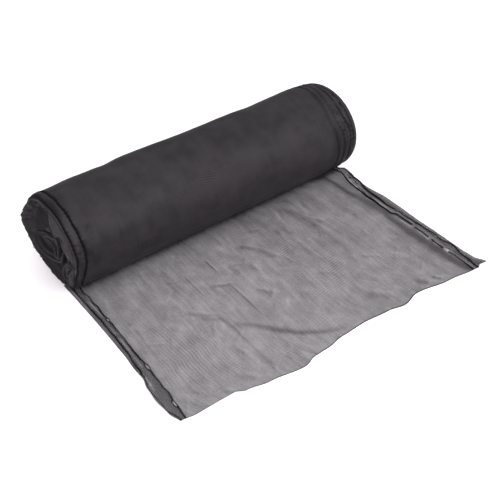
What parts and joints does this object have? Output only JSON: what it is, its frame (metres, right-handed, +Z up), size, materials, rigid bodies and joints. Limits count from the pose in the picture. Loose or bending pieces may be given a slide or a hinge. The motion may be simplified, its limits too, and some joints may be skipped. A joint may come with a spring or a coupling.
{
  "type": "roll of butterfly netting",
  "caption": "Loosely wound roll of fine dark mesh netting with stitched hems, its loose end laid out flat on the floor in front, for covering plants or cages.",
  "frame": {"origin": "middle of the flat spot on which the roll rests, on the floor under the roll's axis", "axes": "+X along the roll to its right end seen from the loose end, -Y along the loose end to its cut edge, +Z up"},
  "size_m": [1.077, 0.8304, 0.2893],
  "materials": {
    "wound_netting": "fine dark knitted mesh wound many layers deep, matt with a faint sheen",
    "single_netting": "one layer of fine dark knitted mesh, sheer, with doubled stitched hems"
  },
  "bodies": {
    "root": {"netting_roll": "wound_netting", "loose_end": "single_netting"}
  },
  "joints": []
}
